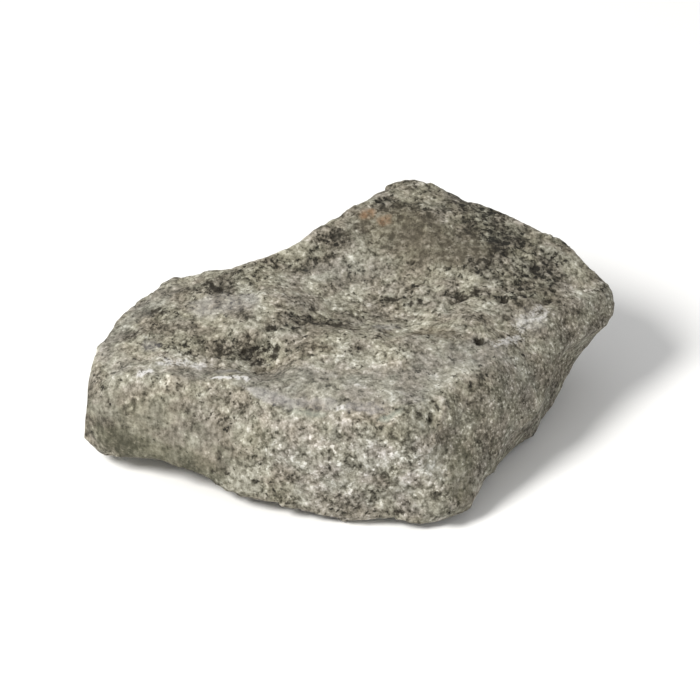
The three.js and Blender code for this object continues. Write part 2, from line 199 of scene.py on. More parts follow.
# Patches of the stone's skin that differ from the rest. Each kind is painted on the mesh as an
# attribute of that name: the line that each patch follows, or its one point, how far it reaches
# from there along X, Y and Z, and how strong it is.
PATCHES = {
    # rubbed white where the stone was knocked
    "bruise": [
        ([(-53.0, -24.9, 28.3), (-50.4, -24.1, 28.9)], (2.0, 1.6, 2.0), 0.9),
        ([(-46.5, -20.9, 30.0), (-38.5, -21.8, 29.7)], (4.8, 2.4, 2.6), 0.65),
        ([(-34.0, -28.8, 30.9), (-26.0, -30.3, 30.9)], (2.4, 1.1, 1.6), 1.0),
        ([(42.5, -7.4, 31.5), (48.3, -0.8, 31.9)], (3.5, 3.0, 3.2), 0.55),
        ([(36.0, -17.6, 32.6), (42.2, -11.6, 30.9)], (2.4, 1.6, 2.4), 0.6),
        ([(-2.6, -41.4, 29.8)], (2.2, 1.2, 1.6), 0.9),
        ([(41.5, -30.0, 18.0), (43.5, -28.0, 14.0)], (1.6, 1.6, 3.0), 0.5),
    ],
    # smooth and faintly lilac
    "lilac": [
        ([(-26.0, -33.5, 29.6), (-16.0, -38.6, 29.1), (-6.0, -40.0, 30.0)], (4.5, 2.3, 2.4), 0.65),
        ([(1.0, -41.6, 30.6), (6.5, -42.4, 30.3)], (3.2, 2.2, 2.4), 1.0),
        ([(-30.5, -25.5, 30.4)], (4.5, 2.0, 2.2), 0.8),
        ([(-37.5, -1.6, 34.3), (-27.0, -2.0, 35.4)], (5.5, 5.5, 3.5), 0.6),
        ([(-50.5, -13.5, 30.3)], (3.6, 3.0, 2.5), 0.5),
        ([(8.5, -8.0, 32.0)], (4.5, 2.6, 2.5), 0.5),
        ([(45.1, -5.2, 31.7)], (6.0, 5.0, 3.5), 0.5),
    ],
    # a pale, greenish film
    "green": [
        ([(9.0, -45.4, 28.9), (12.5, -43.5, 29.6)], (2.6, 1.6, 2.0), 1.0),
        ([(-14.0, -41.2, 28.2), (-8.0, -42.3, 28.2)], (2.6, 1.1, 1.4), 0.7),
    ],
    # stained by iron
    "rust": [
        ([(4.2, 28.8, 43.3)], (2.7, 2.7, 2.7), 1.0),
        ([(8.7, 26.4, 42.8)], (2.4, 2.4, 2.4), 0.8),
    ],
    # warm brown; at the back of the top and in the brown hollow, partly painted shade as well
    "brown": [
        ([(18.5, -11.5, 33.8), (23.0, -15.5, 35.0)], (5.0, 3.2, 3.0), 1.0),
        ([(10.6, 25.4, 42.4), (23.9, 17.1, 40.1)], (15.0, 9.0, 6.0), 0.8),
        ([(2.0, 42.0, 26.0)], (12.0, 10.0, 9.0), 0.6),
        ([(-19.0, -21.8, 29.6), (-12.0, -22.5, 31.5)], (3.5, 2.5, 3.0), 0.5),
        ([(-23.0, -22.5, 29.4)], (3.5, 1.6, 2.0), 0.6),
        ([(-9.0, -20.4, 34.2), (-4.5, -22.0, 34.2)], (2.6, 1.6, 2.0), 0.7),
    ],
    # small, nearly black spots, and painted shade in the holes and slots where they sit on the
    # dents
    "black_and_hole_shade": [
        ([(32.2, -16.7, 33.0)], (2.0, 2.2, 2.6), 1.0),
        ([(9.0, 5.6, 32.3), (11.5, 4.3, 32.3)], (1.6, 1.2, 1.6), 0.7),
        ([(14.0, 1.8, 32.3), (17.5, 2.2, 32.6)], (1.8, 1.2, 1.6), 0.6),
        ([(27.2, 1.4, 34.9), (31.0, 2.4, 35.3)], (1.6, 1.2, 1.6), 0.7),
        ([(38.5, 0.5, 34.8)], (1.5, 1.3, 1.6), 1.0),
        ([(-20.4, -12.8, 35.0)], (2.4, 1.4, 1.6), 0.6),
        ([(-6.0, -9.0, 33.4), (-2.8, -8.4, 33.2)], (1.3, 1.5, 1.6), 0.8),
        ([(-19.2, -17.6, 31.6), (-18.8, -20.2, 30.6)], (0.9, 1.2, 1.8), 0.8),
        ([(-24.5, -20.8, 29.8), (-20.5, -21.2, 30.0)], (1.2, 0.8, 1.4), 0.7),
        ([(-37.0, 8.0, 34.6), (-33.0, 4.2, 34.8)], (1.6, 1.4, 1.6), 0.6),
        ([(-49.5, 1.0, 31.2), (-46.5, -2.2, 31.9)], (1.8, 1.2, 1.6), 0.6),
        ([(17.0, -44.4, 29.3)], (1.2, 1.2, 1.5), 0.7),
        ([(20.2, -43.9, 28.4)], (1.1, 1.2, 1.1), 0.7),
        ([(21.3, -40.4, 29.3)], (1.1, 1.2, 1.5), 0.8),
        ([(-1.5, -39.6, 31.1)], (1.3, 0.9, 1.2), 0.7),
        ([(-37.8, -31.9, 27.4)], (1.5, 1.2, 1.0), 0.5),
        ([(-41.0, -33.9, 23.6), (-36.5, -34.8, 22.2)], (1.8, 1.2, 1.2), 0.4),
        ([(-34.2, -40.0, 9.7)], (1.2, 1.2, 1.0), 0.6),
        ([(-30.8, -41.5, 10.4)], (1.2, 1.2, 1.0), 0.6),
        ([(12.1, -51.0, 5.3)], (3.0, 1.6, 1.2), 0.5),
        ([(4.2, -0.8, 32.0)], (1.2, 1.1, 1.4), 0.6),
        ([(-34.0, -15.5, 31.2), (-27.5, -17.6, 30.7), (-20.5, -18.2, 31.0)], (3.6, 2.4, 2.6), 0.45),
    ],
    # dark and pitted; towards the back right of the top, partly painted shadow as well
    "dark": [
        ([(-41.5, -14.0, 31.2), (-31.0, -14.6, 31.3)], (4.0, 3.0, 3.5), 0.8),
        ([(-30.0, -17.4, 30.6), (-20.5, -17.6, 31.0)], (4.0, 4.2, 3.5), 1.0),
        ([(-50.5, -14.6, 30.3), (-41.0, -16.6, 30.6), (-31.0, -17.2, 30.6)], (3.5, 2.2, 3.0), 0.6),
        ([(-31.0, 9.5, 35.5), (-21.0, 11.0, 36.2)], (5.0, 3.6, 4.0), 0.6),
        ([(-21.5, -13.0, 35.0), (-17.0, -12.6, 35.0)], (3.5, 2.2, 3.0), 0.6),
        ([(-13.0, -9.0, 34.8), (-2.0, -6.6, 33.0)], (4.0, 3.2, 4.0), 0.7),
        ([(-1.0, -2.0, 32.6), (4.5, -1.4, 32.0)], (4.0, 3.6, 3.0), 0.5),
        ([(-20.0, 14.4, 36.4), (-13.1, 15.4, 37.2), (-5.5, 19.8, 39.2)], (5.0, 4.6, 4.5), 0.8),
        ([(-39.0, 7.0, 34.2), (-31.0, 4.5, 34.8)], (5.0, 3.4, 3.5), 0.7),
        ([(-52.0, 1.5, 30.6), (-44.5, -3.0, 32.0)], (4.0, 3.0, 3.0), 0.6),
        ([(10.0, 31.8, 43.6), (17.0, 26.5, 42.8)], (5.5, 4.6, 4.5), 0.9),
        ([(33.0, 31.5, 40.8), (41.0, 19.7, 38.4)], (11.0, 8.0, 6.0), 0.8),
        ([(29.5, 10.9, 37.9), (41.0, 8.5, 36.5)], (7.0, 4.6, 5.0), 0.7),
        ([(46.0, 7.0, 34.6), (52.0, 16.0, 35.0)], (8.0, 7.0, 6.0), 0.8),
        ([(8.0, 5.0, 32.3), (17.0, 2.6, 32.5)], (4.0, 2.4, 3.0), 0.6),
        ([(26.5, 3.6, 35.3), (40.0, 0.4, 34.8)], (4.5, 2.6, 3.5), 0.7),
        ([(-9.0, -20.2, 34.2), (-5.0, -21.6, 34.2)], (2.8, 2.2, 2.4), 0.5),
        ([(0.9, -49.5, 13.0), (10.0, -50.6, 12.0)], (7.0, 3.0, 2.4), 0.5),
    ],
    # a tone paler
    "pale": [
        ([(-23.6, -3.2, 36.4), (-16.7, 0.6, 36.3), (-9.0, 2.0, 35.2)], (6.0, 4.5, 3.5), 0.8),
        ([(4.8, 1.9, 31.8), (12.0, -0.5, 32.0)], (4.5, 3.4, 3.5), 0.8),
        ([(18.6, -3.4, 32.6), (28.0, -8.5, 35.3)], (4.5, 3.0, 3.5), 0.4),
        ([(3.0, 7.0, 33.4), (10.0, 8.0, 34.4)], (5.0, 4.0, 4.0), 0.6),
        ([(3.0, -37.0, 31.4), (12.0, -35.0, 31.8)], (7.0, 6.0, 4.0), 0.9),
        ([(55.6, 8.0, 32.0), (60.0, 12.6, 31.4)], (5.0, 4.5, 3.5), 0.9),
        ([(-8.0, -27.0, 33.0), (2.8, -29.6, 32.6), (10.3, -25.3, 34.2)], (7.0, 5.0, 4.0), 0.6),
        ([(20.0, -32.0, 32.2), (36.0, -20.0, 32.8)], (7.0, 6.5, 4.0), 1.0),
        ([(18.5, -48.0, 23.0), (19.4, -49.5, 16.1)], (6.0, 6.0, 6.0), 0.5),
        ([(-63.3, -8.3, 26.1), (-59.9, -13.8, 27.5)], (6.0, 8.0, 6.0), 0.8),
        ([(-52.0, -20.5, 29.4), (-36.0, -20.5, 30.2)], (6.0, 4.0, 3.0), 1.0),
        ([(-9.7, -16.7, 34.6)], (3.0, 2.4, 2.4), 0.8),
        ([(-8.5, 8.5, 34.9)], (9.0, 5.0, 4.0), 0.6),
        ([(-36.0, 18.0, 20.0), (-16.0, 26.0, 22.0)], (11.0, 9.0, 8.0), 0.6),
        ([(50.0, 34.0, 24.0)], (10.0, 12.0, 7.0), 0.5),
    ],
    # a tone darker: on the top and the hidden sides the stone's own darker places; along the bottom
    # edges and on the undercut at the front left, painted shade; across the back of the top, partly
    # the stone's darker colour and partly painted shadow
    "shade": [
        ([(-38.0, 4.0, 34.5), (-30.0, 9.0, 35.5)], (9.0, 7.0, 4.0), 0.4),
        ([(-46.1, -9.4, 31.2), (-31.8, -5.1, 34.6)], (9.0, 8.0, 4.0), 0.4),
        ([(-38.5, -33.0, 25.0), (-31.3, -35.8, 23.3)], (5.0, 4.5, 4.0), 0.7),
        ([(-16.0, -47.0, 6.0), (3.0, -50.5, 6.0)], (7.0, 5.0, 4.5), 0.6),
        ([(10.0, -51.3, 6.6), (22.0, -51.4, 8.0)], (7.0, 4.0, 4.5), 0.8),
        ([(-34.0, -40.0, 8.8)], (7.0, 4.0, 3.5), 0.5),
        ([(-59.6, -28.1, 15.0)], (7.0, 6.0, 8.0), 0.6),
        ([(-58.0, -29.5, 11.0), (-36.0, -38.0, 8.5)], (9.0, 6.0, 6.0), 0.8),
        ([(5.0, 23.0, 41.5), (23.9, 18.0, 40.1), (38.0, 24.0, 39.5)], (15.0, 10.0, 6.0), 1.0),
        ([(14.4, 44.0, 44.0), (35.0, 33.0, 41.0)], (10.0, 9.0, 6.0), 0.8),
        ([(26.0, 48.0, 12.0), (44.0, 38.0, 10.0)], (12.0, 10.0, 8.0), 0.6),
        ([(-54.0, 8.0, 12.0)], (10.0, 10.0, 8.0), 0.5),
    ],
    # coarse and sugary
    "sugar": [
        ([(-8.3, -47.6, 17.9), (12.0, -50.5, 15.5)], (20.0, 14.0, 15.0), 1.0),
    ],
    # rubbed smooth, with a fine grain
    "worn": [
        ([(-56.0, -30.0, 16.0), (-40.0, -36.0, 16.0)], (17.0, 14.0, 15.0), 1.0),
        ([(28.0, -40.0, 22.0), (46.0, -12.0, 20.0), (60.0, 8.0, 20.0)], (15.0, 15.0, 22.0), 0.6),
        ([(-64.0, -20.0, 17.0)], (10.0, 14.0, 14.0), 0.8),
    ],
    # fine-grained, with small pale flecks
    "fine": [
        ([(30.0, -38.0, 22.0), (46.0, -12.0, 20.0), (60.0, 8.0, 20.0)], (14.0, 14.0, 22.0), 1.0),
    ],
    # the bevelled lip and other bare, even places: smooth, pale and faintly green
    "lip": [
        ([(-50.0, -22.5, 29.0), (-36.0, -26.5, 30.2)], (8.0, 4.5, 4.0), 0.7),
        ([(-22.0, -31.0, 30.6), (-4.0, -35.0, 31.6), (14.0, -35.0, 32.0)], (9.0, 9.0, 5.0), 1.0),
        ([(20.0, -30.0, 32.4), (34.0, -20.5, 32.9)], (8.0, 8.0, 5.0), 1.0),
        ([(-2.0, 12.4, 35.2)], (14.0, 6.0, 5.0), 0.5),
        ([(-63.0, -9.0, 26.5), (-56.0, 0.0, 29.5), (-46.0, 9.0, 33.0)], (5.0, 5.0, 5.0), 0.8),
        ([(-60.5, -12.0, 27.3), (-57.0, -20.0, 28.0)], (5.0, 5.0, 4.0), 0.8),
    ],
    # drawn into streaks, up and down
    "drawn": [
        ([(-56.0, -30.0, 16.0), (-36.0, -38.0, 16.0)], (17.0, 14.0, 17.0), 1.0),
    ],
    # olive and darker; on the undercut at the front left partly painted shade
    "olive_and_undercut_shade": [
        ([(-58.5, -28.3, 11.0), (-38.0, -37.8, 9.0)], (10.0, 8.0, 7.0), 0.8),
        ([(-23.2, -41.6, 22.0)], (6.0, 5.0, 5.0), 0.7),
        ([(27.5, -45.5, 20.0), (26.5, -47.5, 8.0)], (4.5, 5.0, 6.0), 0.8),
    ],
}
# Where a kind of patch lies: only on what faces up, or only on the stone's steep sides.
ON_TOP = ("lip", "lilac", "green", "bruise", "dark")
ON_SIDES = ("worn", "sugar", "fine", "drawn", "olive_and_undercut_shade")
TOP_UPWARD = (0.60, 0.72)  # how far up a face points where the sides end, and where the top starts
PATCH_EDGE = (0.40, 1.0)  # where a patch starts to fade and where it ends, counted in reaches
PATCH_FRAY = 0.30  # how ragged its edge is, coarsely, at a size that is a share of its least reach
PATCH_FRAY_SIZE = 0.9
PATCH_FRINGE = (0.20, 1.9)  # and finely: a share and a size
FRAYED_MOST = 1.5  # past this many reaches nothing frayed is left

# ---------------------------------------------------------------------------------------------
# Camera, light and floor
# ---------------------------------------------------------------------------------------------

CAMERA_HEIGHT = math.radians(33)  # how far above level the camera looks from
CAMERA_DISTANCE = 1.4
CAMERA_RANGE = (0.05, 20)
SENSOR = 36.0
VIEW_WIDTH = 0.1792
AIM_RIGHT = -0.0003
AIM_UP = 0.0168

LAMPS = {
    "window": {
        "place": (-0.60, -0.50, 0.80), "size": 0.40, "power": 15.0, "tint": (1.0, 0.985, 0.955),
    },
    "fill": {"place": (0.8, -0.5, 0.5), "size": 0.8, "power": 0.6, "tint": (0.96, 0.98, 1.0)},
}
LAMPS_AIM = (0, 0, 0.02)
SKY_STRENGTH = 0.60
FLOOR_RADIUS = 6.0
FLOOR_COLOUR = (0.86, 0.86, 0.855)
FLOOR_ROUGHNESS = 0.9


def aimed(name, data, place, at):
    """A light or camera object at place, looking at a point."""
    thing = bpy.data.objects.new(name, data)
    scene.collection.objects.link(thing)
    thing.location = place
    thing.rotation_mode = "QUATERNION"
    thing.rotation_quaternion = (Vector(at) - Vector(place)).to_track_quat("-Z", "Y")
    return thing


def set_camera():
    back = Vector((0, -math.cos(CAMERA_HEIGHT), math.sin(CAMERA_HEIGHT)))
    right = Vector((1, 0, 0))
    aim = right * AIM_RIGHT + back.cross(right) * AIM_UP
    lens = bpy.data.cameras.new("camera")
    lens.sensor_width = SENSOR
    lens.lens = SENSOR * CAMERA_DISTANCE / VIEW_WIDTH
    lens.clip_start, lens.clip_end = CAMERA_RANGE
    scene.camera = aimed("camera", lens, aim + back * CAMERA_DISTANCE, aim)


def add_light(name, place, size, power, tint):
    lamp = bpy.data.lights.new(name, "AREA")
    lamp.shape = "DISK"
    lamp.size = size
    lamp.energy = power
    lamp.color = tint
    aimed(name, lamp, place, LAMPS_AIM)


def light_studio():
    for name, lamp in LAMPS.items():
        add_light(name, **lamp)
    sky = bpy.data.worlds.new("studio")
    sky.use_nodes = True
    sky.node_tree.nodes["Background"].inputs["Color"].default_value = (1, 1, 1, 1)
    sky.node_tree.nodes["Background"].inputs["Strength"].default_value = SKY_STRENGTH
    scene.world = sky
    scene.view_settings.view_transform = "Standard"


def lay_floor():
    bm = bmesh.new()
    bmesh.ops.create_circle(bm, cap_ends=True, segments=64, radius=FLOOR_RADIUS)
    mesh = bpy.data.meshes.new("floor")
    bm.to_mesh(mesh)
    bm.free()
    floor = bpy.data.objects.new("floor", mesh)
    scene.collection.objects.link(floor)
    paint = bpy.data.materials.new("floor paint")
    paint.use_nodes = True
    shader = paint.node_tree.nodes["Principled BSDF"]
    shader.inputs["Base Color"].default_value = (*FLOOR_COLOUR, 1)
    shader.inputs["Roughness"].default_value = FLOOR_ROUGHNESS
    mesh.materials.append(paint)


# ---------------------------------------------------------------------------------------------
# The stone's shape
# ---------------------------------------------------------------------------------------------


def smoothstep(low, high, value):
    """A soft step: 0 below low, 1 above high."""
    t = min(max((value - low) / (high - low), 0.0), 1.0)
    return t * t * (3 - 2 * t)


def even_skin(node):
    """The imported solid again, as one fine and even mesh."""
    bm = bmesh.new()
    bm.from_mesh(node.data)
    bmesh.ops.remove_doubles(bm, verts=bm.verts, dist=WELD * MM)
    mesh = bpy.data.meshes.new("blank")
    bm.to_mesh(mesh)
    bm.free()
    blank = bpy.data.objects.new("blank", mesh)
    scene.collection.objects.link(blank)
    remesh = blank.modifiers.new("even skin", "REMESH")
    remesh.mode = "VOXEL"
    remesh.voxel_size = SKIN * MM
    bpy.context.view_layer.update()
    evaluated = blank.evaluated_get(bpy.context.evaluated_depsgraph_get())
    skin = bpy.data.meshes.new_from_object(evaluated)
    bpy.data.objects.remove(blank)
    bm = bmesh.new()
    bm.from_mesh(skin)
    bpy.data.meshes.remove(skin)
    bpy.data.meshes.remove(mesh)
    return bm


def smooth(bm, passes):
    """Rounds the whole mesh off."""
    for _ in range(passes):
        bmesh.ops.smooth_vert(
            bm, verts=bm.verts, factor=0.5, use_axis_x=True, use_axis_y=True, use_axis_z=True
        )
    bm.normal_update()


def points_of(bm):
    """The mesh's points as an array, in millimetres."""
    return np.array([v.co[:] for v in bm.verts]) / MM


def move_out(bm, lifts):
    """Moves each point out along its normal, but never below the floor."""
    for v, lift in zip(bm.verts, lifts):
        v.co += v.normal * lift * MM
        v.co.z = max(v.co.z, 0.0)
    bm.normal_update()


def store(bm, name, values):
    """Keeps a value for each point of the mesh, for the finish to read."""
    layer = bm.verts.layers.float.new(name)
    for v, value in zip(bm.verts, values):
        v[layer] = value


def standing_out(bm, passes):
    """How far each point stands out from a rounder stone, in millimetres, negative in a hollow."""
    rounder = bm.copy()
    smooth(rounder, passes)
    rounder.verts.ensure_lookup_table()
    heights = [(v.co - rounder.verts[v.index].co).dot(v.normal) / MM for v in bm.verts]
    rounder.free()
    return heights


def away_from(points, line, reach):
    """How far each point lies from a line of points, or from one point, counted in reaches."""
    scaled = points / reach
    corners = np.array(line) / reach
    nearest = np.full(len(points), np.inf)
    for start, end in zip(corners, np.concatenate([corners[1:], corners[-1:]])):
        span = end - start
        along = np.clip((scaled - start) @ span / max(span @ span, TINY), 0.0, 1.0)
        gaps = np.linalg.norm(scaled - start - along[:, None] * span, axis=1)
        nearest = np.minimum(nearest, gaps)
    return nearest


def frayed(away, p, frays):
    """A distance made ragged by noises, each with its share and size."""
    for share, size in frays:
        away += share * noise.noise(p / size)
    return away


def as_unit(vectors):
    """The same directions, each with a length of 1."""
    return vectors / np.maximum(np.linalg.norm(vectors, axis=1, keepdims=True), TINY)


def gathered(rows, values, count):
    """The sum of the values that go to each row."""
    return np.stack([np.bincount(rows, values[:, axis], count) for axis in range(3)], axis=1)


def face_up(bm):
    """Flattens the faces of the stone and sharpens the edges between them."""
    points = np.array([v.co[:] for v in bm.verts])
    corners = np.array([[v.index for v in face.verts] for face in bm.faces])
    beside = np.array([[face.index for face in edge.link_faces] for edge in bm.edges])
    ends = np.concatenate([beside[:, 0], beside[:, 1]])
    others = np.concatenate([beside[:, 1], beside[:, 0]])
    first, second, third, fourth = (points[corners[:, side]] for side in range(4))
    normals = as_unit(np.cross(third - first, fourth - second))
    for _ in range(FACING_ROUNDS):
        bend = np.linalg.norm(normals[ends] - normals[others], axis=1)
        share = np.exp(-0.5 * (bend / FACING_BEND) ** 2)[:, None]
        normals = as_unit(normals + gathered(ends, normals[others] * share, len(corners)))
    meeting = np.bincount(corners.ravel(), minlength=len(points))[:, None]
    for _ in range(FACING_MOVES):
        middles = points[corners].mean(axis=1)
        moves = np.zeros_like(points)
        for side in range(4):
            gap = ((middles - points[corners[:, side]]) * normals).sum(axis=1, keepdims=True)
            moves += gathered(corners[:, side], normals * gap, len(points))
        points += moves / meeting
    for v, point in zip(bm.verts, points):
        v.co = point
        v.co.z = max(v.co.z, 0.0)
    bm.normal_update()


def facet_lift(p, size, lean, wander, start):
    """The height of the leaning facet that a point falls on."""
    strayed = p + noise.noise_vector(p / (size * WANDER_SIZE)) * wander
    place = strayed / size + Vector((start, 0, 0))
    centre = noise.voronoi(place)[1][0]
    tip = noise.cell_vector(centre * FACET_SHUFFLE) - Vector((0.5, 0.5, 0.5))
    return (place - centre).dot(tip) * size * lean


def ledge_lift(p, normal):
    """The height of the layer's ledge that a point falls on."""
    level = p.dot(BEDDING) + noise.noise(p / LEDGE_WANDER_SIZE) * LEDGE_WANDER
    layer, part = divmod(level / LEDGE_HEIGHT, 1)
    flatness = abs(normal.dot(BEDDING))
    tread = (smoothstep(*LEDGE_RISE, part) - part) * LEDGE_HEIGHT * LEDGE_SHARE
    along = Vector((p.x / BAND_LENGTH, p.y / BAND_LENGTH, layer * BAND_SHIFT))
    band = noise.noise(along) * BAND_DEPTH * smoothstep(*BAND_EDGE, part)
    return tread * flatness + band * (1 - flatness)


def pit_depth(p, darkness):
    """How deep the small random pits are at a point."""
    level = noise.noise(p / PIT_SIZE + PIT_PLACE) + PIT_FRAY * noise.noise(p / PIT_FRAY_SIZE)
    start = PIT_START - PIT_CROWD * darkness + PIT_GATHER * noise.noise(p / PIT_GATHER_SIZE)
    return PIT_DEPTH * smoothstep(start, start + PIT_EDGE, level)


def dent_depths(points):
    """How deep the stone's own dents are at each point."""
    depths = np.zeros(len(points))
    for dent in DENTS.values():
        away = away_from(points, [dent["at"]], dent["reach"])
        for index in np.flatnonzero(away < FRAYED_MOST):
            ragged = frayed(away[index], Vector(points[index]), DENT_FRAYS)
            depths[index] += dent["depth"] * (1 - smoothstep(*DENT_RIM, ragged))
    return depths


def patch_strengths(points, places):
    """How strongly a kind of patch shows at each point, from 0 to 1."""
    strengths = np.zeros(len(points))
    for line, reach, share in places:
        away = away_from(points, line, reach)
        frays = [(PATCH_FRAY, min(reach) * PATCH_FRAY_SIZE), PATCH_FRINGE]
        for index in np.flatnonzero(away < FRAYED_MOST):
            ragged = frayed(away[index], Vector(points[index]), frays)
            strengths[index] = max(strengths[index], share * (1 - smoothstep(*PATCH_EDGE, ragged)))
    return strengths


def paint_patches(bm):
    """Stores how strongly each kind of patch shows, for the later steps and the finish to read."""
    points = points_of(bm)
    top = [smoothstep(*TOP_UPWARD, v.normal.z) for v in bm.verts]
    store(bm, "top", top)
    for kind, places in PATCHES.items():
        strengths = patch_strengths(points, places)
        if kind in ON_TOP:
            strengths *= np.array(top)
        if kind in ON_SIDES:
            strengths *= 1 - np.array(top)
        store(bm, kind, strengths)


def sharpen(bm):
    """Pushes the edges of the stone out a little, and its arrises further."""
    heights = np.array(standing_out(bm, EDGE_PASSES))
    lifts = np.clip((heights - EDGE_START) * EDGE_SHARE, 0.0, EDGE_MOST)
    for arris in ARRISES.values():
        away = away_from(points_of(bm), arris["line"], ARRIS_REACH)
        lifts += arris["height"] * np.maximum(1 - away, 0.0)
    move_out(bm, lifts)
    for flat in BREAKS.values():
        facing = Vector(flat["facing"]).normalized()
        for v in bm.verts:
            beyond = (v.co / MM - Vector(flat["at"])).dot(facing)
            v.co -= facing * max(beyond, 0.0) * MM
    bm.normal_update()


def break_surface(bm):
    """Gives the smooth skin its facets and ledges, flat and crisp."""
    worn = bm.verts.layers.float["worn"]
    lip = bm.verts.layers.float["lip"]
    lifts = []
    for v in bm.verts:
        p = v.co / MM
        lift = sum(facet_lift(p, **facet) for facet in FACETS) + ledge_lift(p, v.normal)
        lifts.append(lift * (1 - WORN_FLAT * max(v[worn], v[lip])))
    move_out(bm, lifts)
    face_up(bm)


def chip_and_pit(bm):
    """Knocks small chips off the edges, and sinks the pits and dents."""
    worn = bm.verts.layers.float["worn"]
    dark = bm.verts.layers.float["dark"]
    lifts = []
    dents = dent_depths(points_of(bm))
    for v, height, dent in zip(bm.verts, standing_out(bm, BROAD_PASSES), dents):
        p = v.co / MM
        chip = max(0.0, noise.noise(p / CHIP_SIZE + CHIP_PLACE) + CHIP_SPREAD)
        lift = -chip * CHIP_DEPTH * smoothstep(*CHIP_OUT, height)
        upward = smoothstep(*PIT_UPWARD, v.normal.z)
        depth = pit_depth(p, v[dark]) * (PIT_STEEP + (1 - PIT_STEEP) * upward)
        lift -= depth * (1 - WORN_FLAT * v[worn])
        lifts.append(lift - dent)
    move_out(bm, lifts)


def roughen(bm):
    """Gives the broken skin its sugary grain."""
    worn = bm.verts.layers.float["worn"]
    sugar = bm.verts.layers.float["sugar"]
    lifts = []
    for v in bm.verts:
        p = v.co / MM
        rough = 1 - GRAIN_WORN * v[worn] + GRAIN_SUGAR * v[sugar]
        lift = 0.0
        for grain in GRAIN:
            place = p / grain["size"] + Vector((grain["start"], 0, 0))
            lift += noise.noise(place) * grain["height"]
        lifts.append(lift * rough)
    move_out(bm, lifts)


def relief(steps, heights):
    """How strongly an edge or a hollow shows, from its small and its large height."""
    return sum(
        share * smoothstep(low, high, height) for (share, low, high), height in zip(steps, heights)
    )


def mark_relief(bm):
    """Stores what stands out and what lies hollow, for the finish to read; it paints shade in
    hollows.
    """
    heights = list(zip(standing_out(bm, NEAR_PASSES), standing_out(bm, BROAD_PASSES)))
    store(bm, "edge", [relief(EDGE_STEPS, (small, large)) for small, large in heights])
    store(bm, "hollow_shade", [relief(HOLLOW_STEPS, (-small, -large)) for small, large in heights])


def make_stone():
    """The whole lump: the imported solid's form under its own broken skin."""
    bm = even_skin(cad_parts["stone"])
    smooth(bm, SOFTEN_PASSES)
    sharpen(bm)
    paint_patches(bm)
    break_surface(bm)
    chip_and_pit(bm)
    roughen(bm)
    mark_relief(bm)
    for face in bm.faces:
        face.smooth = True
    mesh = bpy.data.meshes.new("soapstone_lump")
    bm.to_mesh(mesh)
    bm.free()
    lump = bpy.data.objects.new("soapstone_lump", mesh)
    scene.collection.objects.link(lump)
    mesh.materials.append(soapstone())
    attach(lump, "root")
    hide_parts("stone")


# ---------------------------------------------------------------------------------------------
# The stone's finish
# ---------------------------------------------------------------------------------------------

# The stone's own colours, from its darkest specks to its palest flecks.
TONES = [
    (0.00, (0.014, 0.013, 0.009)),
    (0.20, (0.058, 0.053, 0.039)),
    (0.40, (0.142, 0.132, 0.103)),
    (0.58, (0.232, 0.218, 0.178)),
    (0.78, (0.345, 0.329, 0.282)),
    (1.00, (0.570, 0.555, 0.505)),
]
# Faint casts, which the stone's own colour is multiplied by.
PINKISH = (1.020, 0.990, 1.006)
GREENISH = (0.984, 1.004, 0.984)
COOL = (0.985, 0.995, 1.045)
WARM = (0.96, 0.89, 0.72)
WARM_SHARE = 0.30
# Colours that lie over it.
BARE = (0.220, 0.219, 0.194)
BARE_SHARE = 0.18
LILAC = (0.300, 0.288, 0.298)
RUST = (0.205, 0.118, 0.062)
BRUISE = (0.50, 0.49, 0.475)
# the black is also painted shade in the holes
BLACK_AND_HOLE_SHADE = (0.016, 0.013, 0.008)
# Colours laid over a kind of patch just as strongly as it shows, times a share.
TINTS = {
    "green": ((0.345, 0.365, 0.310), 0.55),
    "brown": ((0.150, 0.128, 0.088), 0.40),
    "olive_and_undercut_shade": ((0.130, 0.127, 0.082), 0.35),
}

# The noises are turned away from the stone's axes, because a face along an axis would show their
# grid. Each has its size in millimetres, how many finer layers it has and how strong these are,
# and some are drawn out along an axis by a small share.
NOISE_TURN = (0.60, 0.45, 0.90)
NOISES = {
    "clouds": {"size": 19, "detail": 2, "rough": 0.5},
    "mottle": {"size": 4.6, "detail": 4, "rough": 0.62, "drawn": (0.68, 0.78, 1)},
    "grain": {"size": 1.65, "detail": 4, "rough": 0.67},
    "dust": {"size": 0.75, "detail": 2, "rough": 0.6},
    "streaks": {"size": 1.3, "detail": 3, "rough": 0.5, "drawn": (1, 1, 0.18)},
    "layers": {"size": 1.2, "detail": 3, "rough": 0.5, "drawn": (0.42, 1, 1)},
    "specks": {"size": 1.4, "detail": 2.5, "rough": 0.55},
    "speck crowds": {"size": 9, "detail": 2, "rough": 0.5},
    "flecks": {"size": 1.3, "detail": 2.5, "rough": 0.5},
    "fleck crowds": {"size": 7, "detail": 2, "rough": 0.5},
    "blush": {"size": 5.5, "detail": 3, "rough": 0.5, "drawn": (0.8, 1, 1.2)},
    "warmth": {"size": 8, "detail": 3, "rough": 0.5},
}
CRUMB_SIZE = 1.05
# How far a pattern's straight edges are pushed about, and by a noise of what size.
CROOKED = {"amount": 0.8, "size": 1.6}
RAGGED = {"amount": 0.7, "size": 0.8}

